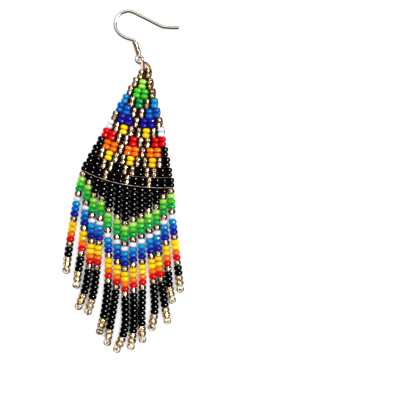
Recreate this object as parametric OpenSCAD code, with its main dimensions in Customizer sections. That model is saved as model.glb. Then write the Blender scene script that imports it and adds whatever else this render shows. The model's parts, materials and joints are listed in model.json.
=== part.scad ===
// Beaded tassel earring, lying flat on a table. Sizes are in millimetres.
// The ear wire points to +Y, the fringe to -Y, and the front faces +Z.
// The table is the plane Z = 0, and the origin is under the middle of the earring.
// A heading is an angle in the table's plane, measured from +X towards +Y.
// A lean is an angle away from -Y, positive towards +X.

/* [Beads] */
// Outer diameter of a seed bead
bead_d = 2.2; // [2:0.05:2.3]
// Length of thread that one bead takes up in the triangle
panel_bead_l = 1.4; // [1.3:0.02:1.5]
// Diameter of the solid that stands for a strand of beads
strand_d = 1.9; // [1.6:0.02:1.96]
// Length of a strand's last bead, which lies with its hole upwards
stop_bead_l = 1.95; // [1.8:0.05:2.1]

/* [Triangle] */
// Stitches in the first row
first_row = 2; // [2:1:3]
// Distance between neighbouring stitches of a row
stitch_pitch = 2.19; // [2.15:0.01:2.25]
// Distance between neighbouring stitches of the lower rows, which are drawn tighter
tight_pitch = 2.13; // [2.1:0.01:2.2]
// Lean of the whole triangle
panel_lean = -9; // [-12:0.1:-6]
// Angle from the middle of a row's arc to its end
row_half_angle = 18; // [10:1:18]
// Lean of an outermost stitch, measured from the triangle's own lean
stitch_fan = 8.5; // [4:0.5:9]
// How far the outermost stitches of a row are pulled in
edge_pull = 0.05; // [0:0.05:0.1]
// How far the right end of the last row hangs below its arc
end_drop = 0.8; // [0:0.1:0.9]
// Lean of the first row, whose right end the loop pulls up
first_row_lean = 10; // [0:1:20]

/* [Ear wire] */
// Diameter of the ear wire
wire_d = 0.84; // [0.76:0.02:0.86]
// Radius of the eye, to the middle of its wire
eye_r = 0.9; // [0.88:0.02:1]
// Distance of the shank's axis from the middle of the eye
shank_offset = 0.3; // [0:0.05:0.4]
// Heading of the shank, from the eye upwards
shank_heading = 107.2; // [105:0.2:109]
// Length of the straight shank above the eye
shank_l = 4.25; // [4.2:0.05:4.6]
// Radius of the tight bend at the top of the shank
shank_bend_r = 1.1; // [0.9:0.1:1.3]
// Angle of the tight bend
shank_bend = 60; // [55:1:65]
// Length of the straight stretch after the tight bend
heel_l = 0.8; // [0.5:0.1:1.2]
// Radius of the wide curve that leads into the ear bend
heel_r = 6.5; // [6:0.1:7]
// Angle of the wide curve
heel_bend = 33; // [30:1:36]
// Radius of the ear bend
ear_bend_r = 3.75; // [3.6:0.05:3.9]
// Angle of the ear bend
ear_bend = 161; // [157:1:165]
// Length of the straight slope
slope_l = 9; // [8:0.1:10]
// Radius of the slight bend between the slope and the tail
tail_bend_r = 2; // [1.6:0.1:2.5]
// Angle of the slight bend
tail_bend = 24; // [20:1:28]
// Length of the straight tail
tail_l = 4.2; // [3.5:0.1:5]
// Length of the taper at the tail's tip
tip_l = 0.15; // [0.1:0.05:0.2]

/* [Coil] */
// Diameter of the fine wire
coil_wire_d = 0.3; // [0.26:0.02:0.3]
// Turns of the fine wire
coil_turns = 10; // [8:1:10]
// Distance between neighbouring turns
coil_pitch = 0.37; // [0.35:0.01:0.37]
// Distance from the middle of the eye to the coil's first turn
coil_start = 1.5; // [1.5:0.01:1.52]

/* [Hanging loop] */
// Diameter of the thread loop
loop_d = 0.5; // [0.4:0.02:0.5]
// Heading from the middle of the eye to where the loop goes round the eye's wire
loop_heading = -50; // [-55:1:-45]
// How far the loop's second leg is bowed outwards
loop_bow = 0.3; // [0:0.05:0.4]

/* [Place] */
// Middle of the eye, to the right of the origin
eye_x = 4.7; // [4.5:0.02:4.8]
// Middle of the eye, above the origin
eye_y = 35.25; // [35.17:0.02:35.37]
// Middle of the first row, to the right of the origin
first_row_x = 6.2; // [6.04:0.02:6.34]
// Middle of the first row, above the origin
first_row_y = 30.85; // [30.77:0.02:30.87]
// Middle of the last row, to the right of the origin
last_row_x = 1.2; // [1.1:0.02:1.3]
// Middle of the last row, above the origin
last_row_y = 0.36; // [0.28:0.02:0.44]

/* [Hidden] */
// Beads of each strand above and below its colour bands, the length of thread that each bead
// takes up, bare thread above the first bead, and the strand's lean in the middle of its four
// stretches: above the bands, in them, below them and in the tip
UPPER = 0;
LOWER = 1;
BEAD_L = 2;
SLACK = 3;
LEAN_UPPER = 4;
LEAN_BANDS = 5;
LEAN_LOWER = 6;
LEAN_TIP = 7;
STRANDS = [
  [0, 2, 1.47, 0, -16.5, -9.5, -8.5, -7],
  [1, 3, 1.48, 0, -12, -3, -9.5, -9],
  [3, 5, 1.47, 0, -11, -0.5, -10, -24],
  [3, 6, 1.42, 0.4, -8, -2, -8, -18],
  [5, 7, 1.46, 0, -7.5, 3, -7, -16],
  [6, 8, 1.45, 0, -4, 2, -10, -10],
  [7, 8, 1.46, 0, -2.5, 0.5, 1, -26],
  [6, 8, 1.46, 0, -1.5, 0.5, 1, -9],
  [5, 7, 1.48, 0, -1, 2.5, -2.5, 4],
  [4, 6, 1.46, 0, -1.5, 5.5, 4, -12],
  [3, 5, 1.49, 0.2, 0.5, 3, 9, 10],
  [1, 3, 1.49, 0.1, -2.5, 6, 3.5, 13],
  [0, 2, 1.48, 0.1, 1, 6.5, 6.5, 6]
];
// Beads in the colour bands and in the tip of a strand
band_beads = 15;
tip_beads = 3;
// Stitches in the last row, one for each strand
last_row = len(STRANDS);
// The first of the lower rows, and the number of rows at the bottom whose right ends hang down
tight_row = 9;
dropped_rows = 4;

bead_r = bead_d / 2;
wire_r = wire_d / 2;
row_pitch = 2 * panel_bead_l;
strand_r = strand_d / 2;
// Stitches are cut a little long, so that neighbouring rows join
stitch_l = row_pitch + 0.2;
stitch_sides = 8;
// Gap above a strand's first bead, and above the first row where the thread loop ends
strand_gap = 0.16;
loop_gap = 0.2;
// A strand's solid has a ring of corners every three diameters
ring_step = 3 * bead_d;
strand_sides = 8;

// Stretches of the ear wire in order, from the eye to the tip of the tail: the length of a straight
// stretch, then the radius and the angle of the bend that follows it, positive to the left
LENGTH = 0;
BEND_R = 1;
ANGLE = 2;
WIRE = [
  [shank_l, shank_bend_r, shank_bend],
  [heel_l, heel_r, -heel_bend],
  [0, ear_bend_r, -ear_bend],
  [slope_l, tail_bend_r, tail_bend],
  [tail_l, 0, 0]
];
EAR_BEND = 2;
TAIL = 4;
// Thin collars at the joints are a hair wider than the wire, so that the stretches join into one solid
collar_r = wire_r + 0.01;
collar_l = 0.1;

// Radius of the fine wire's turns, clear of the shank
coil_r = wire_r + 0.06 + coil_wire_d / 2;
coil_turn_steps = 14;
coil_sides = 6;

// Radius of the loop's turn round the eye's wire, clear of it
loop_turn_r = wire_r + loop_d / 2 + 0.05;
loop_sides = 8;
loop_steps = 2;

function two_digits(k) = k < 10 ? str("0", k) : str(k);
function strand_name(k) = str("strand_", two_digits(k));

// Direction of a lean, and of the row that crosses it
function down(lean) = [sin(lean), -cos(lean)];
function across(lean) = [cos(lean), sin(lean)];

// Place of a stitch in its row, from -1 at the left end to 1 at the right end
function row_place(n, j) = (2 * j - (n - 1)) / (n - 1);

function row_lean(n) = n == first_row ? first_row_lean : panel_lean;

// Middle of a row of n stitches
function row_middle(n) =
  n == first_row
    ? [first_row_x, first_row_y]
    : [last_row_x, last_row_y] - (last_row - n) * row_pitch * down(panel_lean);

// How far the right end of a row of n stitches hangs below its arc
function row_drop(n) = end_drop * max(0, n - last_row + dropped_rows) / dropped_rows;

// Middle of stitch j in a row of n stitches, on the arc that the row bends in
function stitch_middle(n, j) =
  let (
    place = row_place(n, j),
    pitch = n < tight_row ? stitch_pitch : tight_pitch,
    radius = (n - 1) / 2 * pitch / (row_half_angle * PI / 180),
    angle = row_half_angle * place,
    pull = abs(place) == 1 ? edge_pull * place : 0,
    drop = row_drop(n) * max(0, place) * max(0, place)
  )
  row_middle(n)
    + (radius * sin(angle) - pull) * across(row_lean(n))
    + (drop - radius * (1 - cos(angle))) * down(row_lean(n));

function stitch_lean(n, j) = panel_lean + stitch_fan * row_place(n, j) * min(1, n / 4);

// Beads and length of strand k
function strand_beads(k) = STRANDS[k - 1][UPPER] + band_beads + STRANDS[k - 1][LOWER] + tip_beads;
function strand_bead_l(k) = STRANDS[k - 1][BEAD_L];
function strand_l(k) = (strand_beads(k) - 1) * strand_bead_l(k) + stop_bead_l;

// Lean of strand k after a number of its beads
function strand_lean(k, beads) =
  let (
    row = STRANDS[k - 1],
    bands_at = row[UPPER] + band_beads / 2,
    lower_at = row[UPPER] + band_beads + row[LOWER] / 2,
    tip_at = strand_beads(k) - tip_beads / 2
  )
  lookup(beads, [
    [row[UPPER] / 2, row[LEAN_UPPER]],
    [bands_at, row[LEAN_BANDS]],
    [lower_at, row[LEAN_LOWER]],
    [tip_at, row[LEAN_TIP]]
  ]);

// Top of strand k, below its stitch of the last row
function strand_top(k) =
  stitch_middle(last_row, k - 1)
    + (stitch_l / 2 + strand_gap + STRANDS[k - 1][SLACK]) * down(stitch_lean(last_row, k - 1));

// Points of strand k from a place on it onwards, each a step further along the strand's lean there
function strand_route(k, step, at, travelled = 0) =
  let (here = [[at.x, at.y, strand_r]])
  travelled > strand_l(k) - step / 2
    ? here
    : let (lean = strand_lean(k, (travelled + step / 2) / strand_bead_l(k)))
      concat(here, strand_route(k, step, at + step * down(lean), travelled + step));

// Point between b and c on a smooth curve through a, b, c and d, at t from 0 to 1
function curve_point(a, b, c, d, t) =
  b + t / 2 * (c - a + t * (2 * a - 5 * b + 4 * c - d + t * (3 * (b - c) + d - a)));

// Smooth curve through the points of a route
function smooth(route, steps) =
  let (last = len(route) - 1)
  concat(
    [
      for (i = [0 : last - 1])
      for (s = [0 : steps - 1])
      curve_point(route[max(i - 1, 0)], route[i], route[i + 1], route[min(i + 2, last)], s / steps)
    ],
    [route[last]]
  );

function unit(v) = v / norm(v);

function route_direction(route, i) =
  unit(route[min(i + 1, len(route) - 1)] - route[max(i - 1, 0)]);

// Corners of a tube of radius r around point i of its route, where side is a direction across it
function tube_ring(route, i, r, sides, side) =
  let (
    along = route_direction(route, i),
    u = unit(side - (side * along) * along),
    v = cross(along, u),
    corner_r = r / cos(180 / sides)
  )
  [
    for (k = [0 : sides - 1])
    let (angle = 360 * (k + 0.5) / sides)
    route[i] + corner_r * (cos(angle) * u + sin(angle) * v)
  ];

module tube(route, r, sides, side) {
  rings = len(route);
  corners = [for (i = [0 : rings - 1]) each tube_ring(route, i, r, sides, side)];
  walls = [
    for (i = [0 : rings - 2])
    for (k = [0 : sides - 1])
    let (a = i * sides + k, b = i * sides + (k + 1) % sides)
    [b, a, a + sides, b + sides]
  ];
  top = [for (k = [0 : sides - 1]) k];
  end = [for (k = [sides - 1 : -1 : 0]) (rings - 1) * sides + k];
  polyhedron(corners, concat([top], walls, [end]));
}

// Place and heading of the ear wire's middle line where stretch i starts, as [x, y, heading].
// The origin is the middle of the eye.
function wire_at(i) =
  i == 0
    ? let (along = sqrt(eye_r * eye_r - shank_offset * shank_offset))
      [
        along * cos(shank_heading) + shank_offset * sin(shank_heading),
        along * sin(shank_heading) - shank_offset * cos(shank_heading),
        shank_heading
      ]
    : let (
        from = wire_at(i - 1),
        stretch = WIRE[i - 1],
        turned = from[2] + stretch[ANGLE],
        side_r = sign(stretch[ANGLE]) * stretch[BEND_R]
      )
      [
        from.x + stretch[LENGTH] * cos(from[2]) + side_r * (sin(turned) - sin(from[2])),
        from.y + stretch[LENGTH] * sin(from[2]) + side_r * (cos(from[2]) - cos(turned)),
        turned
      ];

// Distance from the middle of the eye to the far side of the ear bend, on the wire's middle line
wire_reach = wire_at(EAR_BEND).y + ear_bend_r * (1 - cos(wire_at(EAR_BEND)[2]));

// Height of the eye, level with the beads, and the slope of the ear wire down to its bend
eye_z = bead_r;
wire_slope = asin((eye_z - wire_r) / wire_reach);

// Place on the table of a point given in the ear wire's own plane
function from_wire_plane(p) =
  [
    eye_x + p.x,
    eye_y + p.y * cos(wire_slope) + p.z * sin(wire_slope),
    eye_z - p.y * sin(wire_slope) + p.z * cos(wire_slope)
  ];

// Moves its children to the ear wire's own plane, which slopes down from the eye to the ear bend
module to_wire_plane() {
  translate([eye_x, eye_y, eye_z])
    rotate([-wire_slope, 0, 0])
      children();
}

// Moves its children to the start of the ear wire's stretch i, with +X along the wire
module to_stretch(i) {
  start = wire_at(i);
  translate([start.x, start.y, 0])
    rotate([0, 0, start[2]])
      children();
}

// Straight wire along +X
module straight_wire(l) {
  rotate([0, 90, 0])
    cylinder(h = l, r = wire_r, $fn = 32);
}

// Straight wire along +X with a tapered tip
module tapered_wire(l) {
  rotate([0, 90, 0])
    rotate_extrude($fn = 32)
      polygon([[0, 0], [wire_r, 0], [wire_r, l - tip_l], [wire_r - tip_l, l], [0, l]]);
}

// Bent wire that starts along +X and turns to the left where the angle is positive
module bent_wire(bend_r, angle) {
  side = sign(angle);
  translate([0, side * bend_r, 0])
    rotate([0, 0, side > 0 ? -90 : 90 + angle])
      rotate_extrude(angle = abs(angle), $fn = 96)
        translate([bend_r, 0])
          circle(r = wire_r, $fn = 32);
}

// Thin collar where two stretches meet
module collar() {
  rotate([0, 90, 0])
    cylinder(h = collar_l, r = collar_r, center = true, $fn = 32);
}

module eye() {
  rotate_extrude($fn = 96)
    translate([eye_r, 0])
      circle(r = wire_r, $fn = 32);
}

// Eye, shank, tight bend, heel, ear bend, slope, slight bend and tail, all one wire
module ear_wire() {
  color("#d9a98c")
    to_wire_plane() {
      eye();
      for (i = [0 : TAIL - 1])
        to_stretch(i) {
          if (WIRE[i][LENGTH] > 0)
            straight_wire(WIRE[i][LENGTH]);
          translate([WIRE[i][LENGTH], 0, 0]) {
            if (WIRE[i][LENGTH] > 0)
              collar();
            bent_wire(WIRE[i][BEND_R], WIRE[i][ANGLE]);
          }
        }
      for (i = [1 : TAIL])
        to_stretch(i)
          collar();
      to_stretch(TAIL)
        tapered_wire(tail_l);
    }
}

// Fine wire wound round the shank
module coil() {
  steps = coil_turns * coil_turn_steps;
  route = [
    for (i = [0 : steps])
    let (angle = 360 * i / coil_turn_steps)
    let (along = coil_start + coil_pitch * i / coil_turn_steps)
    [along, coil_r * cos(angle) - shank_offset, coil_r * sin(angle)]
  ];
  color("#d9a98c")
    to_wire_plane()
      rotate([0, 0, shank_heading])
        tube(route, coil_wire_d / 2, coil_sides, [1, 0, 0]);
}

// Point just above the top of stitch j of the first row
function first_row_top(j) =
  let (top = stitch_middle(first_row, j) - (stitch_l / 2 + loop_gap) * down(stitch_lean(first_row, j)))
  [top.x, top.y, bead_r];

// Route of the thread loop: up from the first stitch, over the eye's wire, down through the eye, back
// under the wire, and bowed outwards down to the last stitch of the row
function loop_route() =
  let (
    turn = [
      for (angle = [60 : 30 : 300])
      let (reach = eye_r + loop_turn_r * cos(angle))
      from_wire_plane([reach * cos(loop_heading), reach * sin(loop_heading), loop_turn_r * sin(angle)])
    ],
    from = turn[len(turn) - 1],
    to = first_row_top(first_row - 1),
    along = unit(to - from),
    bowed = (from + to) / 2 + loop_bow * [-along.y, along.x, 0]
  )
  concat([first_row_top(0)], turn, [bowed, to]);

module hanging_loop() {
  color("#e8dccb")
    tube(smooth(loop_route(), loop_steps), loop_d / 2, loop_sides, [-sin(loop_heading), cos(loop_heading), 0]);
}

// Two beads on one pass of thread
module stitch() {
  rotate([90, 0, 0])
    rotate([0, 0, 180 / stitch_sides])
      cylinder(h = stitch_l, d = bead_d / cos(180 / stitch_sides), center = true, $fn = stitch_sides);
}

// The stitched triangle, where each row is one stitch wider than the row above
module bead_panel() {
  color("#2b2b2b")
    for (n = [first_row : last_row])
      for (j = [0 : n - 1])
        translate([stitch_middle(n, j).x, stitch_middle(n, j).y, bead_r])
          rotate([0, 0, stitch_lean(n, j)])
            stitch();
}

module strand(k) {
  steps = ceil(strand_l(k) / ring_step);
  color("#3a6fd0")
    tube(strand_route(k, strand_l(k) / steps, strand_top(k)), strand_r, strand_sides, [0, 0, 1]);
}

ear_wire();
coil();
hanging_loop();
bead_panel();
for (k = [1 : last_row]) {
  strand(k);
}
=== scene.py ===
"""Looks of a beaded tassel earring that lies flat on a pale surface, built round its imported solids.

Lengths in the tables and settings are in millimetres, and MM turns them into metres.
A lean is an angle in degrees away from -Y, positive towards +X.
"""

from collections import namedtuple
import json
import math
import random

import bpy
import numpy as np
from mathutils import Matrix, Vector

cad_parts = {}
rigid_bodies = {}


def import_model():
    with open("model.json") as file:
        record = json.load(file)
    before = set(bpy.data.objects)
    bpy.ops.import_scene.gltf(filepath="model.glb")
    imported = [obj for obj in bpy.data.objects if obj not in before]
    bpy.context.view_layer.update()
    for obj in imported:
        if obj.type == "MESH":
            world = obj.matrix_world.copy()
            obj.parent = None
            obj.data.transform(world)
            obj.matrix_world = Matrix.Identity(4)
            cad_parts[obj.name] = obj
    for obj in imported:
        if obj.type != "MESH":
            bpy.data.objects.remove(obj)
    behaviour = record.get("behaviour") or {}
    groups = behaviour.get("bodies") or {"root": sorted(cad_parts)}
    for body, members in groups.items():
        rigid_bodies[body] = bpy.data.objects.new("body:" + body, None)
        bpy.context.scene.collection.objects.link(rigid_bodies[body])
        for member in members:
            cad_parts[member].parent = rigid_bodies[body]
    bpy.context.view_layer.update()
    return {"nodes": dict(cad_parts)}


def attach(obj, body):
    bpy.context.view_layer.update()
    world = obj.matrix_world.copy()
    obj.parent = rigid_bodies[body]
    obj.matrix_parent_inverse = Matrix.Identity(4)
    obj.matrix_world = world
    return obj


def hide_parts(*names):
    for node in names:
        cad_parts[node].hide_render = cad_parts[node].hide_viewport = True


MM = 0.001

# Layout of the beadwork, as the solids have it
BEAD_D = 2.2
BEAD_R = BEAD_D / 2
PANEL_BEAD_L = 1.4
STOP_BEAD_L = 1.95
FIRST_ROW = 2
LAST_ROW = 13
STITCH_PITCH = 2.19
TIGHT_PITCH = 2.13
TIGHT_ROW = 9
PANEL_LEAN = -9
ROW_HALF_ANGLE = 18
STITCH_FAN = 8.5
EDGE_PULL = 0.05
END_DROP = 0.8
DROPPED_ROWS = 4
FIRST_ROW_LEAN = 10
FIRST_ROW_AT = (6.2, 30.85)
LAST_ROW_AT = (1.2, 0.36)
STITCH_EXTRA_L = 0.2
# Gap above a strand's first bead, a little less than between the solids
STRAND_GAP = 0.1

# Each strand: beads above and below its colour bands, the length of thread that each bead takes up,
# bare thread above the first bead, and the lean in the middle of its four stretches. From bead_l on,
# the columns are mostly rounded values that a program fitted to the photograph.
Strand = namedtuple("Strand", "upper lower bead_l slack lean_upper lean_bands lean_lower lean_tip")
STRANDS = [Strand(*row) for row in (
    (0, 2, 1.47, 0, -16.5, -9.5, -8.5, -7),
    (1, 3, 1.48, 0, -12, -3, -9.5, -9),
    (3, 5, 1.47, 0, -11, -0.5, -10, -24),
    (3, 6, 1.42, 0.4, -8, -2, -8, -18),
    (5, 7, 1.46, 0, -7.5, 3, -7, -16),
    (6, 8, 1.45, 0, -4, 2, -10, -10),
    (7, 8, 1.46, 0, -2.5, 0.5, 1, -26),
    (6, 8, 1.46, 0, -1.5, 0.5, 1, -9),
    (5, 7, 1.48, 0, -1, 2.5, -2.5, 4),
    (4, 6, 1.46, 0, -1.5, 5.5, 4, -12),
    (3, 5, 1.49, 0.2, 0.5, 3, 9, 10),
    (1, 3, 1.49, 0.1, -2.5, 6, 3.5, 13),
    (0, 2, 1.48, 0.1, 1, 6.5, 6.5, 6),
)]

# Colour chart, one code for each stitch of two beads, from the left
PANEL_CHART = {
    2: "G G",
    3: "G LG G",
    4: "G MG MG G",
    5: "LB G DG G LB",
    6: "B B G G B B",
    7: "G N N G N N G",
    8: "W G Y G G Y G W",
    9: "R R G G R G G R R",
    10: "K O O G O O G O O K",
    11: "K G Y G G Y G G Y G K",
    12: "K K G G K G G K G G K K",
    13: "K K K G K K G K K G K K K",
}
BAND_CHART = "G LG MG DG G W LB B N G Y Y O R G"
TIP_CHART = "G G"
BAND_BEADS = len(BAND_CHART.split())
# The stop bead is the last one of the tip
TIP_BEADS = len(TIP_CHART.split()) + 1
GOLD = "G"
BLACK = "K"

# Colour of each kind of opaque bead, as linear red, green and blue
BEAD_COLOURS = {
    "LG": ("light_green", (0.28, 0.55, 0.09)),
    "MG": ("mid_green", (0.06, 0.46, 0.036)),
    "DG": ("emerald", (0.008, 0.33, 0.078)),
    "LB": ("light_blue", (0.011, 0.255, 0.51)),
    "B": ("blue", (0.003, 0.12, 0.43)),
    "N": ("navy", (0.017, 0.016, 0.29)),
    "W": ("white", (0.60, 0.62, 0.68)),
    "Y": ("yellow", (0.79, 0.51, 0.006)),
    "O": ("orange", (0.75, 0.175, 0.010)),
    "R": ("red", (0.60, 0.003, 0.006)),
    "K": ("black", (0.001, 0.001, 0.0012)),
}
# Colour of each kind of thread, in the same way
THREAD_COLOURS = {
    "pale_thread": (0.74, 0.62, 0.53),
    "brown_thread": (0.09, 0.026, 0.017),
    # Near-black thread, real but thick, that also fills gaps between beads as painted shade
    "dark_thread_as_shade": (0.035, 0.012, 0.01),
    "rust_thread": (0.22, 0.075, 0.035),
    "grey_thread": (0.62, 0.56, 0.51),
}

# Shape of a bead, and the height of its hole's ends where a bead is one unit long
HOLE_R = 0.38
HOLE_RIM = 0.06
HOLE_END = 0.45
BEAD_SIDES = 28
BEAD_ARC_STEPS = 12
BEAD_ROUNDNESS = 0.86
PANEL_BEAD_D = 2.27
STRAND_BEAD_D = 2.4
# Diameter of a gold bead, and of the outermost beads of a row, as shares of the full one. The two
# gold beads above a stop bead are full size.
GOLD_BEAD_SHARE = 0.93
EDGE_BEAD_SHARE = 0.92
# Height of a stop bead, and of its middle above the surface
STOP_BEAD_H = 1.3
STOP_BEAD_Z = 1.02
# Gap between a strand's beads and the surface
STRAND_LIFT = 0.02

# How unevenly beads lie: turn in degrees, shift aside, and slope of the axis
PANEL_TURN = 2.5
PANEL_SHIFT = 0.03
PANEL_SLOPE = 0.04
STRAND_TURN = 3
STRAND_SLOPE = 0.05
STOP_TILT = (26, 38)
LINING_ROLL = 14
# The smallest diameter and length of a bead, as shares of the largest
PANEL_LEAST_D = 0.96
STRAND_LEAST_D = 0.95
LEAST_L = 0.95

# Metal lining of a gold bead's hole
LINING_SIDES = 6
LINING_CORNER_TURNS = (-1, -0.5, 0, 0.5, 1)
LINING_R = 0.47
LINING_CORNER_R = 0.16
LINING_WALL = 0.03
LINING_L = 0.86
# Share of the way out to its flank where the painted shade of a gold bead starts to darken it
PANEL_CLEAR = 0.45
BAND_CLEAR = 0.44
TIP_CLEAR = 0.6
STOP_CLEAR = 0.56
# The same for the side of a stop bead, whose painted shade is lighter than its painted dark rim by this
# share
STOP_SIDE = 0.86
SIDE_SHARE = 0.6
# How much clearer the stop bead's painted dark rim is where it meets the strand, as such a share
STOP_TOP_CLEAR = 0.5
# Share of the way over which a bead's painted shade fades in
FLANK_FADE = 0.14
# Tone of the most amber lining, from 0 for the palest to 1 for the painted shade along its edges
WARMEST = 0.4
# Share of that tone that the linings of an area reach
PALE = 0.25
WARM = 1.0
# The last row whose right-hand gold beads are amber, as all of them are in the first row
LAST_AMBER_ROW = 4

# Ear wire, coil and thread loop, as the solids have them
WIRE_R = 0.42
EYE_AT = (4.7, 35.25, 1.1)
EYE_R = 0.9
SHANK_OFFSET = 0.3
SHANK_HEADING = 107.2
WIRE_REACH = 14.055
COIL_WIRE_R = 0.15
COIL_GAP = 0.06
COIL_R = WIRE_R + COIL_GAP + COIL_WIRE_R
COIL_TURNS = 10
COIL_PITCH = 0.37
COIL_START = 1.5
LOOP_HEADING = -50
LOOP_GAP = 0.2
# Angles in degrees on the loop's turn round the eye's wire
LOOP_TURN = range(60, 301, 30)

# The coil's wire is rounder than the solid's
COIL_TURN_STEPS = 32
COIL_SIDES = 12
# Share of the way out to its flank where the coil's painted shade starts to darken it
COIL_CLEAR = 0.7

# Threads of the loop: radius of the turn round the eye's wire, shift aside, bow, own radius, material
LoopThread = namedtuple("LoopThread", "turn_r aside bow radius material")
LOOP_THREADS = [
    LoopThread(0.62, -0.2, -0.35, 0.15, "pale_thread"),
    LoopThread(0.62, 0.1, -0.05, 0.15, "pale_thread"),
    LoopThread(0.6, 0.3, 0.2, 0.15, "rust_thread"),
    LoopThread(0.6, 0.5, 0.45, 0.13, "rust_thread"),
]
LOOP_SIDES = 10
LOOP_STEPS = 6

# Threads in the beads' holes, and between neighbouring stitches
THREAD_SIDES = 8
STITCH_THREAD_R = 0.2
STRAND_THREAD_R = 0.16
# Thick threads between stitches are real thread that also stand in for shade in the gaps
BETWEEN_R = 0.3
BETWEEN_Z = 0.75

# Bridges of thread along a row: place along the stitch from its middle (0) to its end (1), height,
# how far it rises over each stitch, radius, material
Bridge = namedtuple("Bridge", "end z rise radius material")
ROW_BRIDGES = [
    # The thick near-black bridge also fills the gap between rows as painted shade
    Bridge(1, BEAD_R - 0.25, -0.1, 0.3, "dark_thread_as_shade"),
    Bridge(1, BEAD_R + 0.1, 0.1, 0.16, "brown_thread"),
]
LAST_ROW_BRIDGES = [
    # Two thick near-black threads under the last row also fill the gap above the strands as painted shade
    Bridge(1.15, 0.5, 0.05, 0.3, "dark_thread_as_shade"),
    Bridge(1.15, 0.95, 0.05, 0.3, "dark_thread_as_shade"),
    Bridge(1.0, BEAD_R + 0.5, 0.12, 0.08, "grey_thread"),
]
# A fine thread that shows on the right half of the row above the last
FINE_BRIDGE = Bridge(1.0, BEAD_R + 0.4, 0.12, 0.035, "grey_thread")
BRIDGE_REACH = 0.4
BRIDGE_STEPS = 3

# Thread along the right edge, down to the last row that shows it: the places on a stitch that it
# passes with its distance aside there, and the heights and radius of its two passes
LAST_EDGE_ROW = 8
EDGE_TURNS = ((-1, 0.75), (0, 1.02), (1, 0.75))
EDGE_HEIGHTS = (BEAD_R, BEAD_R + 0.35)
EDGE_THREAD_R = 0.12

# Thread round a stop bead: distance back along the strand from the bead's middle, and height
STOP_THREAD = ((1.0, 1.05), (0.85, 1.5), (0.45, 1.72), (0.1, 1.4), (0, STOP_BEAD_Z), (0, 0.4))
STOP_THREAD_R = 0.1
STOP_THREAD_STEPS = 4

# Rounded ends of a tube: how far they reach and how wide they are, as shares of its radius
TUBE_END_REACH = 0.4
TUBE_END_SHARE = 0.6
# A direction that no tube starts along
ASKEW = (0.3, 0.2, 0.93)

random.seed(7)

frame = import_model()


# Layout

def down(lean):
    angle = math.radians(lean)
    return np.array([math.sin(angle), -math.cos(angle)])


def across(lean):
    angle = math.radians(lean)
    return np.array([math.cos(angle), math.sin(angle)])


def row_place(n, j):
    """Place of stitch j in a row of n, from -1 at the left end to 1 at the right end."""
    return (2 * j - (n - 1)) / (n - 1)


def row_lean(n):
    return FIRST_ROW_LEAN if n == FIRST_ROW else PANEL_LEAN


def row_middle(n):
    if n == FIRST_ROW:
        return np.array(FIRST_ROW_AT)
    return np.array(LAST_ROW_AT) - (LAST_ROW - n) * 2 * PANEL_BEAD_L * down(PANEL_LEAN)


def stitch_middle(n, j):
    place = row_place(n, j)
    pitch = STITCH_PITCH if n < TIGHT_ROW else TIGHT_PITCH
    radius = (n - 1) / 2 * pitch / math.radians(ROW_HALF_ANGLE)
    angle = math.radians(ROW_HALF_ANGLE * place)
    pull = EDGE_PULL * place if abs(place) == 1 else 0
    row_drop = END_DROP * max(0, n - LAST_ROW + DROPPED_ROWS) / DROPPED_ROWS
    drop = row_drop * max(0, place) ** 2
    return (
        row_middle(n)
        + (radius * math.sin(angle) - pull) * across(row_lean(n))
        + (drop - radius * (1 - math.cos(angle))) * down(row_lean(n))
    )


def stitch_lean(n, j):
    return PANEL_LEAN + STITCH_FAN * row_place(n, j) * min(1, n / 4)


def strand_codes(k):
    strand = STRANDS[k - 1]
    return [BLACK] * strand.upper + BAND_CHART.split() + [BLACK] * strand.lower + TIP_CHART.split()


def strand_lean(k, beads):
    """Lean of strand k after a number of its beads."""
    upper, lower, _, _, *leans = STRANDS[k - 1]
    below = upper + BAND_BEADS
    at = [upper / 2, upper + BAND_BEADS / 2, below + lower / 2, below + lower + TIP_BEADS / 2]
    return float(np.interp(beads, at, leans))


def strand_top(k):
    lean = stitch_lean(LAST_ROW, k - 1)
    below = PANEL_BEAD_L + STITCH_EXTRA_L / 2 + STRAND_GAP + STRANDS[k - 1].slack
    return stitch_middle(LAST_ROW, k - 1) + below * down(lean)


def strand_places(k):
    """Middle and lean of each bead of strand k, with its stop bead last."""
    bead_l = STRANDS[k - 1].bead_l
    at = strand_top(k)
    places = []
    for i in range(len(strand_codes(k))):
        lean = strand_lean(k, i + 0.5)
        places.append((at + bead_l / 2 * down(lean), lean))
        at = at + bead_l * down(lean)
    lean = strand_lean(k, len(places) + 0.5)
    places.append((at + STOP_BEAD_L / 2 * down(lean), lean))
    return places


# Meshes

def jitter(spread):
    return random.uniform(-spread, spread)


def unit(v):
    return v / np.linalg.norm(v)


class MeshMaker:
    """Collects rings of faces with a material and a tone, and makes one mesh of them."""

    def __init__(self, name, materials):
        self.name = name
        self.materials = materials
        self.points = []
        self.faces = []
        self.face_materials = []
        self.tones = []
        self.count = 0

    def add(self, points, faces, material, tone=0.5):
        self.points.append(points)
        self.faces += [[i + self.count for i in face] for face in faces]
        self.face_materials += [self.materials.index(material)] * len(faces)
        self.tones.append(np.broadcast_to(tone, len(points)))
        self.count += len(points)

    def make(self):
        mesh = bpy.data.meshes.new(self.name)
        points = np.concatenate(self.points) * MM
        mesh.from_pydata(points.tolist(), [], self.faces)
        for material in self.materials:
            mesh.materials.append(material)
        mesh.polygons.foreach_set("material_index", self.face_materials)
        mesh.polygons.foreach_set("use_smooth", [True] * len(self.faces))
        tone = mesh.attributes.new("tone", "FLOAT", "POINT")
        tone.data.foreach_set("value", np.concatenate(self.tones))
        mesh.update()
        made = bpy.data.objects.new(self.name, mesh)
        bpy.context.scene.collection.objects.link(made)
        return made


def ring_faces(rings, sides):
    """Faces between rings of points that close up both ways."""
    faces = []
    for i in range(rings):
        for k in range(sides):
            after = (i + 1) % rings
            beside = (k + 1) % sides
            faces.append((i * sides + k, after * sides + k, after * sides + beside, i * sides + beside))
    return faces


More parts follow.
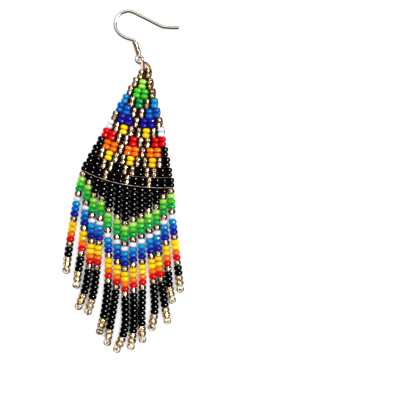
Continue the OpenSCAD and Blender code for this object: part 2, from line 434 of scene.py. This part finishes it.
def revolved(profile, sides):
    """Points and faces of a closed profile of (radius, height) turned round the Y axis."""
    points = []
    for radius, height in profile:
        for k in range(sides):
            angle = 2 * math.pi * k / sides
            points.append((radius * math.cos(angle), height, radius * math.sin(angle)))
    return np.array(points), ring_faces(len(profile), sides)


def power(value, exponent):
    return math.copysign(abs(value) ** exponent, value)


def bead_profile():
    """Half section of a bead of diameter BEAD_D and unit length, from one rim round to the other and
    back through the hole."""
    profile = []
    for i in range(BEAD_ARC_STEPS + 1):
        angle = math.pi * (i / BEAD_ARC_STEPS - 0.5)
        radius = HOLE_R + HOLE_RIM + (BEAD_R - HOLE_R - HOLE_RIM) * power(math.cos(angle), BEAD_ROUNDNESS)
        profile.append((radius, 0.5 * power(math.sin(angle), BEAD_ROUNDNESS)))
    profile.append((HOLE_R, HOLE_END))
    profile.append((HOLE_R, -HOLE_END))
    return profile


def rounded_corners(radius, corner_r):
    """Rounded outline of the lining's section as (x, z), with a corner on top, and 1 for each point
    well inside a corner."""
    outline = []
    edges = []
    for corner in range(LINING_SIDES):
        middle = math.pi / 2 + 2 * math.pi * corner / LINING_SIDES
        for turn in LINING_CORNER_TURNS:
            angle = middle + turn * math.pi / LINING_SIDES
            outline.append((
                (radius - corner_r) * math.cos(middle) + corner_r * math.cos(angle),
                (radius - corner_r) * math.sin(middle) + corner_r * math.sin(angle),
            ))
            edges.append(1 if abs(turn) < 1 else 0)
    return outline, edges


def lining_template():
    """Points, faces and painted-shade edge marks of a bead's metal lining, of unit length along Y."""
    outer, edges = rounded_corners(LINING_R, LINING_CORNER_R)
    inner, _ = rounded_corners(LINING_R - LINING_WALL, LINING_CORNER_R - LINING_WALL)
    half_l = LINING_L / 2
    rings = [(outer, -half_l), (outer, half_l), (inner, half_l), (inner, -half_l)]
    points = [(x, y, z) for outline, y in rings for x, z in outline]
    return np.array(points), ring_faces(len(rings), len(outer)), np.array(edges * len(rings))


def painted_flank_shade(outward, clear):
    """Painted shade of the points of a gold bead, or of the coil: 0 out to the share clear, and 1 beyond
    the fade.
    """
    return np.clip((outward - clear) / FLANK_FADE, 0, 1)


BEAD_POINTS, BEAD_FACES = revolved(bead_profile(), BEAD_SIDES)
LINING_POINTS, LINING_FACES, LINING_SHADE_EDGES = lining_template()
# How far out towards the flank each point of a bead is, seen from the side and from its end
BEAD_SPREAD = np.hypot(BEAD_POINTS[:, 0], BEAD_POINTS[:, 2])
SIDE_FLANK = np.abs(BEAD_POINTS[:, 0]) / BEAD_SPREAD
END_FLANK = BEAD_SPREAD / BEAD_R
# Painted shade: gold glass darkens towards its flanks as seen from above, and a stop bead towards its rim
PANEL_FLANK_SHADE = painted_flank_shade(SIDE_FLANK, PANEL_CLEAR)
BAND_FLANK_SHADE = painted_flank_shade(SIDE_FLANK, BAND_CLEAR)
TIP_FLANK_SHADE = painted_flank_shade(SIDE_FLANK, TIP_CLEAR)
# The stop bead's painted dark rim is clearer on the side where it meets the strand
STRAND_SIDE = np.maximum(0, BEAD_POINTS[:, 0] / BEAD_R)
STOP_RIM_SHADE = painted_flank_shade(END_FLANK - STOP_TOP_CLEAR * STRAND_SIDE, STOP_CLEAR)
STOP_PAINTED_SHADE = STOP_RIM_SHADE * (1 - SIDE_SHARE * painted_flank_shade(END_FLANK, STOP_SIDE))

# How the beads of an area vary: painted shade on the flanks of the gold glass, warmth of its lining,
# and the range of tones of the opaque glass
Look = namedtuple("Look", "flank warmth tones")
PANEL_LOOK = Look(PANEL_FLANK_SHADE, PALE, (0.35, 1))
AMBER_LOOK = Look(PANEL_FLANK_SHADE, WARM, (0.35, 1))
BAND_LOOK = Look(BAND_FLANK_SHADE, PALE, (0.1, 0.7))
TIP_LOOK = Look(TIP_FLANK_SHADE, WARM, (0.1, 0.7))


def placed(points, middle, axis, up, diameter, length, roll=0):
    """Template points turned so that their Y axis lies along axis, sized and moved to middle."""
    axis = unit(np.array(axis, float))
    side = unit(np.cross(axis, up))
    up = np.cross(side, axis)
    side, up = (
        math.cos(roll) * side + math.sin(roll) * up,
        math.cos(roll) * up - math.sin(roll) * side,
    )
    share = diameter / BEAD_D
    sized = points * np.array([share, length, share])
    return np.array(middle) + sized[:, :1] * side + sized[:, 1:2] * axis + sized[:, 2:] * up


def add_stop_bead(maker, middle, axis, up, diameter, length):
    """The gold bead that the thread turns round at the end of a strand, seen from its end."""
    points = placed(BEAD_POINTS, middle, axis, up, diameter, length)
    maker.add(points, BEAD_FACES, MATERIALS["gold_end"], STOP_PAINTED_SHADE)


def add_bead(maker, code, look, middle, axis, diameter, length):
    """One seed bead. A gold one is clear glass with painted shade on its flanks, and a bright metal lining.
    """
    up = (0, 0, 1)
    if code == GOLD:
        roll = math.radians(jitter(LINING_ROLL))
        points = placed(BEAD_POINTS, middle, axis, up, diameter, length)
        maker.add(points, BEAD_FACES, MATERIALS["gold_glass"], look.flank)
        points = placed(LINING_POINTS, middle, axis, up, diameter, length, roll)
        # Painted shade along the lining's corners, and an amber tone at random elsewhere
        lining_tone = np.where(LINING_SHADE_EDGES == 1, 1, WARMEST * look.warmth * random.random())
        maker.add(points, LINING_FACES, MATERIALS["gold_lining"], lining_tone)
    else:
        points = placed(BEAD_POINTS, middle, axis, up, diameter, length)
        maker.add(points, BEAD_FACES, MATERIALS[code], random.uniform(*look.tones))


def tube(path, radius, sides):
    """Points and faces of a closed tube along a path, with rounded ends."""
    path = np.array(path, float)
    first = path[0] + TUBE_END_REACH * radius * unit(path[0] - path[1])
    last = path[-1] + TUBE_END_REACH * radius * unit(path[-1] - path[-2])
    path = np.vstack([first, path, last])
    radii = [TUBE_END_SHARE * radius] + [radius] * (len(path) - 2) + [TUBE_END_SHARE * radius]
    tangents = np.gradient(path, axis=0)
    side = unit(np.cross(tangents[0], ASKEW))
    points = []
    for place, along, ring_r in zip(path, tangents, radii):
        along = unit(along)
        side = unit(side - np.dot(side, along) * along)
        other = np.cross(along, side)
        for k in range(sides):
            angle = 2 * math.pi * k / sides
            points.append(place + ring_r * (math.cos(angle) * side + math.sin(angle) * other))
    faces = []
    for i in range(len(path) - 1):
        for k in range(sides):
            beside = (k + 1) % sides
            faces.append((i * sides + k, i * sides + beside, (i + 1) * sides + beside, (i + 1) * sides + k))
    top = (len(path) - 1) * sides
    faces.append(tuple(range(sides - 1, -1, -1)))
    faces.append(tuple(top + k for k in range(sides)))
    return np.array(points), faces


def smooth_path(points, steps):
    """Smooth curve through the points."""
    points = np.array(points, float)
    last = len(points) - 1
    path = []
    for i in range(last):
        a = points[max(i - 1, 0)]
        b = points[i]
        c = points[i + 1]
        d = points[min(i + 2, last)]
        for s in range(steps):
            t = s / steps
            path.append(b + t / 2 * (c - a + t * (2 * a - 5 * b + 4 * c - d + t * (3 * (b - c) + d - a))))
    path.append(points[last])
    return np.array(path)


# Materials

def new_material(name):
    material = bpy.data.materials.new(name)
    material.use_nodes = True
    nodes = material.node_tree.nodes
    return material, nodes, material.node_tree.links, nodes["Principled BSDF"]


def add_noise(nodes, links, scale, detail=3.0):
    """Cloudy pattern that is fixed to the piece."""
    place = nodes.new("ShaderNodeTexCoord")
    noise = nodes.new("ShaderNodeTexNoise")
    noise.inputs["Scale"].default_value = scale
    noise.inputs["Detail"].default_value = detail
    links.new(place.outputs["Object"], noise.inputs["Vector"])
    return noise.outputs["Fac"]


def add_tone(nodes):
    """Tone that MeshMaker stores at each point."""
    tone = nodes.new("ShaderNodeAttribute")
    tone.attribute_name = "tone"
    return tone.outputs["Fac"]


def add_bump(nodes, links, shader, height, strength, distance):
    bump = nodes.new("ShaderNodeBump")
    bump.inputs["Strength"].default_value = strength
    bump.inputs["Distance"].default_value = distance
    links.new(height, bump.inputs["Height"])
    links.new(bump.outputs["Normal"], shader.inputs["Normal"])


def ranged(nodes, links, value, low, high, start=0, end=1):
    """Value from start to end, mapped to low to high."""
    spread = nodes.new("ShaderNodeMapRange")
    spread.inputs["From Min"].default_value = start
    spread.inputs["From Max"].default_value = end
    spread.inputs["To Min"].default_value = low
    spread.inputs["To Max"].default_value = high
    links.new(value, spread.inputs["Value"])
    return spread.outputs["Result"]


def add_ramp(nodes, links, value, low, high, start=0, end=1):
    """Colours from low, where the value is start, to high, where it is end."""
    ramp = nodes.new("ShaderNodeValToRGB")
    for element, position, colour in zip(ramp.color_ramp.elements, (start, end), (low, high)):
        element.position = position
        element.color = (*colour, 1)
    links.new(value, ramp.inputs["Fac"])
    return ramp


def opaque_glass(name, colour):
    """Glossy opaque glass, a little lighter or darker from bead to bead and faintly cloudy."""
    material, nodes, links, shader = new_material(name)
    cloud = add_noise(nodes, links, scale=900)
    shade = nodes.new("ShaderNodeHueSaturation")
    shade.inputs["Color"].default_value = (*colour, 1)
    links.new(ranged(nodes, links, add_tone(nodes), low=0.74, high=1.12), shade.inputs["Value"])
    links.new(ranged(nodes, links, cloud, low=0.485, high=0.515), shade.inputs["Hue"])
    links.new(shade.outputs["Color"], shader.inputs["Base Color"])
    links.new(ranged(nodes, links, cloud, low=0.08, high=0.17), shader.inputs["Roughness"])
    shader.inputs["IOR"].default_value = 1.5
    shader.inputs["Specular IOR Level"].default_value = 0.04
    add_bump(nodes, links, shader, cloud, strength=0.15, distance=0.00002)
    return material


def gold_glass():
    """Clear glass that is pale on top, with painted shade that turns it dark brown at the flanks."""
    material, nodes, links, shader = new_material("gold_glass")
    tint = add_ramp(nodes, links, add_tone(nodes), low=(0.98, 0.93, 0.84), high=(0.012, 0.004, 0.002))
    links.new(tint.outputs["Color"], shader.inputs["Base Color"])
    shader.inputs["Transmission Weight"].default_value = 1.0
    shader.inputs["IOR"].default_value = 1.5
    shader.inputs["Specular IOR Level"].default_value = 0.2
    cloud = add_noise(nodes, links, scale=700)
    links.new(ranged(nodes, links, cloud, low=0.02, high=0.08), shader.inputs["Roughness"])
    return material


def gold_end():
    """The end of a gold bead: glossy cream mottled with brown, with painted shade that makes a dark brown
    rim.
    """
    material, nodes, links, shader = new_material("gold_end")
    cloud = add_noise(nodes, links, scale=1200)
    brown = (0.12, 0.06, 0.02)
    cream = (0.82, 0.74, 0.58)
    streaks = add_ramp(nodes, links, cloud, brown, cream, start=0.4, end=0.52)
    # Painted shade: the tone darkens the rim to dark brown
    rim = nodes.new("ShaderNodeMix")
    rim.data_type = "RGBA"
    rim.inputs["B"].default_value = (0.02, 0.008, 0.004, 1)
    links.new(add_tone(nodes), rim.inputs["Factor"])
    links.new(streaks.outputs["Color"], rim.inputs["A"])
    links.new(rim.outputs["Result"], shader.inputs["Base Color"])
    links.new(ranged(nodes, links, cloud, low=0.1, high=0.25), shader.inputs["Roughness"])
    shader.inputs["Specular IOR Level"].default_value = 0.1
    return material


def gold_lining():
    """Bright pale metal that lines the clear beads, amber in some, with painted dark shade along its edges.
    """
    material, nodes, links, shader = new_material("gold_lining")
    shade = add_ramp(nodes, links, add_tone(nodes), low=(0.75, 0.66, 0.53), high=(0.03, 0.012, 0.006))
    amber = shade.color_ramp.elements.new(WARMEST)
    amber.color = (0.84, 0.58, 0.20, 1)
    links.new(shade.outputs["Color"], shader.inputs["Base Color"])
    shader.inputs["Metallic"].default_value = 0.65
    shader.inputs["Specular IOR Level"].default_value = 0.2
    cloud = add_noise(nodes, links, scale=1500)
    links.new(ranged(nodes, links, cloud, low=0.15, high=0.28), shader.inputs["Roughness"])
    return material


def coil_gilt():
    """Gilt on the fine wire of the coil, with painted shade that darkens it towards its flanks."""
    material, nodes, links, shader = new_material("coil_gilt")
    shade = add_ramp(nodes, links, add_tone(nodes), low=(0.46, 0.37, 0.28), high=(0.05, 0.03, 0.02))
    links.new(shade.outputs["Color"], shader.inputs["Base Color"])
    shader.inputs["Metallic"].default_value = 1.0
    cloud = add_noise(nodes, links, scale=900)
    links.new(ranged(nodes, links, cloud, low=0.03, high=0.09), shader.inputs["Roughness"])
    return material


def gilt_wire():
    """Polished pale rose gilt with faint drawing marks, and painted shade that darkens its flanks."""
    material, nodes, links, shader = new_material("gilt_wire")
    cloud = add_noise(nodes, links, scale=450)
    gilt = add_ramp(nodes, links, cloud, low=(0.61, 0.55, 0.48), high=(0.73, 0.67, 0.59))
    # Painted shade: darker where the surface faces sideways in the piece's own space
    place = nodes.new("ShaderNodeTexCoord")
    facing = nodes.new("ShaderNodeSeparateXYZ")
    links.new(place.outputs["Normal"], facing.inputs["Vector"])
    upward = nodes.new("ShaderNodeMath")
    upward.operation = "ABSOLUTE"
    links.new(facing.outputs["Z"], upward.inputs[0])
    wire_flank_shade = ranged(nodes, links, upward.outputs["Value"], low=0.02, high=1, start=0.66, end=0.98)
    shade = nodes.new("ShaderNodeHueSaturation")
    links.new(gilt.outputs["Color"], shade.inputs["Color"])
    links.new(wire_flank_shade, shade.inputs["Value"])
    links.new(shade.outputs["Color"], shader.inputs["Base Color"])
    shader.inputs["Metallic"].default_value = 1.0
    links.new(ranged(nodes, links, cloud, low=0.03, high=0.09), shader.inputs["Roughness"])
    scratches = add_noise(nodes, links, scale=2600, detail=2.0)
    add_bump(nodes, links, shader, scratches, strength=0.2, distance=0.00001)
    return material


def thread_material(name, colour):
    """Waxed thread, faintly fibrous."""
    material, nodes, links, shader = new_material(name)
    fibres = add_noise(nodes, links, scale=3000, detail=4.0)
    shade = nodes.new("ShaderNodeHueSaturation")
    shade.inputs["Color"].default_value = (*colour, 1)
    links.new(ranged(nodes, links, fibres, low=0.75, high=1.2), shade.inputs["Value"])
    links.new(shade.outputs["Color"], shader.inputs["Base Color"])
    shader.inputs["Roughness"].default_value = 0.55
    shader.inputs["Specular IOR Level"].default_value = 0.1
    add_bump(nodes, links, shader, fibres, strength=0.5, distance=0.00004)
    return material


def paper():
    """Matt off-white paper with a faint grain."""
    material, nodes, links, shader = new_material("paper")
    grain = add_noise(nodes, links, scale=120)
    shade = add_ramp(nodes, links, grain, low=(0.93, 0.93, 0.93), high=(0.97, 0.97, 0.97))
    links.new(shade.outputs["Color"], shader.inputs["Base Color"])
    shader.inputs["Roughness"].default_value = 0.9
    shader.inputs["Specular IOR Level"].default_value = 0.1
    return material


MATERIALS = {code: opaque_glass(name + "_glass", colour) for code, (name, colour) in BEAD_COLOURS.items()}
MATERIALS["gold_glass"] = gold_glass()
MATERIALS["gold_lining"] = gold_lining()
MATERIALS["gold_end"] = gold_end()
MATERIALS["wire"] = gilt_wire()
MATERIALS["coil"] = coil_gilt()
for name, colour in THREAD_COLOURS.items():
    MATERIALS[name] = thread_material(name, colour)


def bead_materials(codes):
    names = sorted(set(codes) - {GOLD})
    if GOLD in codes:
        names += ["gold_glass", "gold_lining"]
    return [MATERIALS[name] for name in names]


def finish_piece(piece, slot, *nodes):
    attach(piece, "root")
    if nodes:
        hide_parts(*nodes)


def add_thread(maker, route, radius, material, sides=THREAD_SIDES):
    maker.add(*tube(route, radius, sides), MATERIALS[material])


# Triangle

def make_panel():
    codes = [code for row in PANEL_CHART.values() for code in row.split()]
    beads = MeshMaker("panel_beads", bead_materials([code for code in codes if code != GOLD]))
    gold = MeshMaker("panel_gold_beads", bead_materials([GOLD]))
    for n, row in PANEL_CHART.items():
        for j, code in enumerate(row.split()):
            amber = n == FIRST_ROW or n <= LAST_AMBER_ROW and row_place(n, j) > 0
            look = AMBER_LOOK if amber else PANEL_LOOK
            middle = stitch_middle(n, j)
            lean = stitch_lean(n, j)
            edge = EDGE_BEAD_SHARE if abs(row_place(n, j)) == 1 else 1
            for end in (-0.5, 0.5):
                turned = lean + jitter(PANEL_TURN)
                at = middle + end * PANEL_BEAD_L * down(lean) + jitter(PANEL_SHIFT) * across(lean)
                diameter = PANEL_BEAD_D * edge * random.uniform(PANEL_LEAST_D, 1.0)
                diameter *= GOLD_BEAD_SHARE if code == GOLD else 1
                length = PANEL_BEAD_L * random.uniform(LEAST_L, 1.0)
                axis = (*down(turned), jitter(PANEL_SLOPE))
                maker = gold if code == GOLD else beads
                add_bead(maker, code, look, (*at, PANEL_BEAD_D / 2), axis, diameter, length)
    finish_piece(beads.make(), "seed_beads", "bead_panel")
    finish_piece(gold.make(), "seed_beads")


def at_height(place, z):
    return np.array([place[0], place[1], z])


def stitch_end(n, j, end):
    """Top or bottom of a stitch, for end -1 or 1."""
    return stitch_middle(n, j) + end * PANEL_BEAD_L * down(stitch_lean(n, j))


def row_bridge(n, bridge):
    """Route of a thread that runs along one edge of a row, from stitch to stitch."""
    route = []
    for j in range(n):
        at = at_height(stitch_end(n, j, bridge.end), bridge.z)
        along = at_height(across(stitch_lean(n, j)), 0)
        route.append(at - BRIDGE_REACH * along + [0, 0, bridge.rise])
        route.append(at + BRIDGE_REACH * along - [0, 0, bridge.rise])
    return smooth_path(route, BRIDGE_STEPS)


def edge_route(z):
    """Route of the thread that turns back and forth along the right edge of the upper rows."""
    route = []
    for n in range(FIRST_ROW, LAST_EDGE_ROW + 1):
        for end, out in EDGE_TURNS:
            aside = out * across(stitch_lean(n, n - 1))
            route.append(at_height(stitch_end(n, n - 1, end) + aside, z))
    return smooth_path(route, BRIDGE_STEPS)


def straight_route(first, last):
    return [first, (first + last) / 2, last]


def add_row_thread(maker, n):
    """Thread through the stitches of row n, between them, and along their lower ends."""
    for j in range(n):
        ends = [at_height(stitch_end(n, j, end), BEAD_R) for end in (-1, 1)]
        add_thread(maker, straight_route(*ends), STITCH_THREAD_R, "brown_thread")
    for j in range(n - 1):
        ends = [
            at_height((stitch_end(n, j, end) + stitch_end(n, j + 1, end)) / 2, BETWEEN_Z)
            for end in (-1, 1)
        ]
        between = "rust_thread" if n == FIRST_ROW else "dark_thread_as_shade"
        add_thread(maker, straight_route(*ends), BETWEEN_R, between)
    for bridge in ROW_BRIDGES:
        add_thread(maker, row_bridge(n, bridge), bridge.radius, bridge.material)


def make_panel_thread():
    """Thread of all rows, along the right edge and along the last row."""
    names = ("brown_thread", "dark_thread_as_shade", "grey_thread", "rust_thread")
    maker = MeshMaker("panel_thread", [MATERIALS[name] for name in names])
    for n in PANEL_CHART:
        add_row_thread(maker, n)
    for z in EDGE_HEIGHTS:
        add_thread(maker, edge_route(z), EDGE_THREAD_R, "rust_thread")
    for bridge in LAST_ROW_BRIDGES:
        add_thread(maker, row_bridge(LAST_ROW, bridge), bridge.radius, bridge.material)
    fine = row_bridge(LAST_ROW - 1, FINE_BRIDGE)
    add_thread(maker, fine[len(fine) // 2:], FINE_BRIDGE.radius, FINE_BRIDGE.material)
    finish_piece(maker.make(), "thread")


# Fringe

def make_strand(k):
    """Beads of strand k, its stop bead and its thread."""
    codes = strand_codes(k) + [GOLD]
    beads = MeshMaker(f"strand_{k:02d}_beads", bead_materials([code for code in codes if code != GOLD]))
    gold = MeshMaker(f"strand_{k:02d}_gold_beads", bead_materials([GOLD]) + [MATERIALS["gold_end"]])
    thread = MeshMaker(f"strand_{k:02d}_thread", [MATERIALS["brown_thread"]])
    places = strand_places(k)
    bead_l = STRANDS[k - 1].bead_l
    route = [at_height(stitch_end(LAST_ROW, k - 1, 1), BEAD_R)]
    for i, ((at, lean), code) in enumerate(zip(places[:-1], codes[:-1])):
        tip = i >= len(codes) - TIP_BEADS
        turned = lean + jitter(STRAND_TURN)
        diameter = STRAND_BEAD_D * random.uniform(STRAND_LEAST_D, 1.0)
        if code == GOLD and not tip:
            diameter *= GOLD_BEAD_SHARE
        length = bead_l * random.uniform(LEAST_L, 1.0)
        axis = (*down(turned), jitter(STRAND_SLOPE))
        look = TIP_LOOK if tip else BAND_LOOK
        maker = gold if code == GOLD else beads
        middle = at_height(at, diameter / 2 + STRAND_LIFT)
        add_bead(maker, code, look, middle, axis, diameter, length)
        route.append(middle)
    at, lean = places[-1]
    tilt = math.radians(random.uniform(*STOP_TILT))
    axis = (*(math.sin(tilt) * down(lean)), math.cos(tilt))
    diameter = STRAND_BEAD_D * GOLD_BEAD_SHARE
    add_stop_bead(gold, (*at, STOP_BEAD_Z), axis, (*across(lean), 0), diameter, STOP_BEAD_H)
    add_thread(thread, route, STRAND_THREAD_R, "brown_thread")
    route = [at_height(at - back * down(lean), z) for back, z in STOP_THREAD]
    add_thread(thread, smooth_path(route, STOP_THREAD_STEPS), STOP_THREAD_R, "brown_thread")
    finish_piece(beads.make(), "seed_beads", f"strand_{k:02d}")
    finish_piece(gold.make(), "seed_beads")
    finish_piece(thread.make(), "thread")


# Ear wire, coil and thread loop

def from_wire_plane(x, y, z):
    """Place of a point given in the ear wire's own plane, with its origin in the middle of the eye."""
    slope = math.asin((EYE_AT[2] - WIRE_R) / WIRE_REACH)
    return np.array([
        EYE_AT[0] + x,
        EYE_AT[1] + y * math.cos(slope) + z * math.sin(slope),
        EYE_AT[2] - y * math.sin(slope) + z * math.cos(slope),
    ])


def make_coil():
    heading = math.radians(SHANK_HEADING)
    route = []
    tones = []
    for i in range(COIL_TURNS * COIL_TURN_STEPS + 1):
        angle = 2 * math.pi * i / COIL_TURN_STEPS
        along = COIL_START + COIL_PITCH * i / COIL_TURN_STEPS
        aside = COIL_R * math.cos(angle) - SHANK_OFFSET
        x = along * math.cos(heading) - aside * math.sin(heading)
        y = along * math.sin(heading) + aside * math.cos(heading)
        route.append(from_wire_plane(x, y, COIL_R * math.sin(angle)))
        # Painted shade on the flanks of the coil as seen from above
        tones.append(painted_flank_shade(abs(math.cos(angle)), COIL_CLEAR))
    # The tube has one more ring at each end
    tones = [tones[0], *tones, tones[-1]]
    maker = MeshMaker("coil_wire", [MATERIALS["coil"]])
    maker.add(*tube(route, COIL_WIRE_R, COIL_SIDES), MATERIALS["coil"], np.repeat(tones, COIL_SIDES))
    finish_piece(maker.make(), "gilt_wire", "coil")


def loop_end(j):
    """Place above stitch j of the first row where the loop's solid ends."""
    lean = stitch_lean(FIRST_ROW, j)
    return stitch_middle(FIRST_ROW, j) - (PANEL_BEAD_L + STITCH_EXTRA_L / 2 + LOOP_GAP) * down(lean)


def loop_thread(turn_r, aside, bow):
    """Route of one thread of the loop: up from the first stitch, round the eye's wire and down again."""
    heading = math.radians(LOOP_HEADING)
    turn = []
    for degrees in LOOP_TURN:
        angle = math.radians(degrees)
        reach = EYE_R + turn_r * math.cos(angle)
        x = reach * math.cos(heading) - aside * math.sin(heading)
        y = reach * math.sin(heading) + aside * math.cos(heading)
        turn.append(from_wire_plane(x, y, turn_r * math.sin(angle)))
    start = at_height(stitch_end(FIRST_ROW, 0, -1), BEAD_R)
    start_top = at_height(loop_end(0), BEAD_R) + [aside, 0, 0]
    end = at_height(stitch_end(FIRST_ROW, 1, -1), BEAD_R)
    end_top = at_height(loop_end(1), BEAD_R) + [aside, 0, 0]
    along = unit(end_top - turn[-1])
    bowed = (turn[-1] + end_top) / 2 + bow * np.array([-along[1], along[0], 0])
    return smooth_path([start, start_top, *turn, bowed, end_top, end], LOOP_STEPS)


def make_thread_loop():
    maker = MeshMaker("thread_loop", [MATERIALS["pale_thread"], MATERIALS["rust_thread"]])
    for one in LOOP_THREADS:
        route = loop_thread(one.turn_r, one.aside, one.bow)
        add_thread(maker, route, one.radius, one.material, LOOP_SIDES)
    finish_piece(maker.make(), "thread", "hanging_loop")


make_panel()
make_panel_thread()
for k in range(1, LAST_ROW + 1):
    make_strand(k)
make_coil()
make_thread_loop()
ear_wire = frame["nodes"]["ear_wire"]
ear_wire.data.materials.clear()
ear_wire.data.materials.append(MATERIALS["wire"])


# Floor, light and camera

PHOTO_PX = 400
MM_PER_PX = 0.2887
ORIGIN_PX = (123.2, 181.33)
LENS = 100
SENSOR = 36
FLOOR_SIZE = 3000
KEY_DIRECTION = (0.1, 0.1, 1)
GLINT_ANGLE = math.radians(34)
GLINT_DIRECTION = (math.sin(GLINT_ANGLE), 0.03, math.cos(GLINT_ANGLE))
# The side on which the surroundings are dark
DARK_SIDE = (-0.4, -0.92, 0)


def make_floor():
    half = FLOOR_SIZE / 2 * MM
    mesh = bpy.data.meshes.new("floor")
    corners = [(-half, -half, 0), (half, -half, 0), (half, half, 0), (-half, half, 0)]
    mesh.from_pydata(corners, [], [(0, 1, 2, 3)])
    mesh.materials.append(paper())
    floor = bpy.data.objects.new("floor", mesh)
    bpy.context.scene.collection.objects.link(floor)


def add_area_light(name, direction, distance, size, watts, glossy=False):
    data = bpy.data.lights.new(name, "AREA")
    data.shape = "DISK"
    data.size = size * MM
    data.energy = watts
    light = bpy.data.objects.new(name, data)
    direction = Vector(direction).normalized()
    light.location = direction * distance * MM
    light.rotation_euler = direction.to_track_quat("Z", "Y").to_euler()
    light.visible_glossy = glossy
    light.visible_transmission = glossy
    light.visible_diffuse = not glossy
    bpy.context.scene.collection.objects.link(light)
    return light


def light_only(light, materials):
    """Keeps the light to the pieces that have one of the materials."""
    lit = bpy.data.collections.new(light.name + "_on")
    for piece in bpy.context.scene.objects:
        if piece.type == "MESH" and set(materials) & set(piece.data.materials):
            lit.objects.link(piece)
    light.light_linking.receiver_collection = lit


def make_world():
    """Pale surroundings with a dark stretch high up on the near left."""
    world = bpy.data.worlds.new("studio")
    bpy.context.scene.world = world
    world.use_nodes = True
    nodes = world.node_tree.nodes
    links = world.node_tree.links
    place = nodes.new("ShaderNodeTexCoord")
    nearness = nodes.new("ShaderNodeVectorMath")
    nearness.operation = "DOT_PRODUCT"
    nearness.inputs[1].default_value = DARK_SIDE
    links.new(place.outputs["Generated"], nearness.inputs[0])
    shade = ranged(nodes, links, nearness.outputs["Value"], low=1, high=0.03, start=0.2, end=0.6)
    height = nodes.new("ShaderNodeSeparateXYZ")
    links.new(place.outputs["Generated"], height.inputs["Vector"])
    horizon = ranged(nodes, links, height.outputs["Z"], low=1, high=0, start=0.15, end=0.3)
    brighter = nodes.new("ShaderNodeMath")
    brighter.operation = "MAXIMUM"
    links.new(shade, brighter.inputs[0])
    links.new(horizon, brighter.inputs[1])
    background = nodes["Background"]
    background.inputs["Color"].default_value = (1, 1, 1, 1)
    links.new(brighter.outputs["Value"], background.inputs["Strength"])


def make_camera():
    data = bpy.data.cameras.new("camera")
    data.lens = LENS
    data.sensor_width = SENSOR
    data.clip_start = 0.01
    data.clip_end = 10
    camera = bpy.data.objects.new("camera", data)
    width = PHOTO_PX * MM_PER_PX
    camera.location = (
        (PHOTO_PX / 2 - ORIGIN_PX[0]) * MM_PER_PX * MM,
        (ORIGIN_PX[1] - PHOTO_PX / 2) * MM_PER_PX * MM,
        (LENS / SENSOR * width + BEAD_R) * MM,
    )
    bpy.context.scene.collection.objects.link(camera)
    bpy.context.scene.camera = camera


make_floor()
make_world()
add_area_light("key", KEY_DIRECTION, distance=500, size=600, watts=1.1)
glint = add_area_light("glint", GLINT_DIRECTION, distance=450, size=190, watts=50, glossy=True)
light_only(glint, [MATERIALS[BLACK]])
gleam = add_area_light("gleam", GLINT_DIRECTION, distance=450, size=220, watts=9, glossy=True)
light_only(gleam, [MATERIALS["wire"], MATERIALS["coil"], MATERIALS["gold_lining"]])
make_camera()

bpy.context.scene.view_settings.view_transform = "Standard"
bpy.context.scene.view_settings.look = "High Contrast"
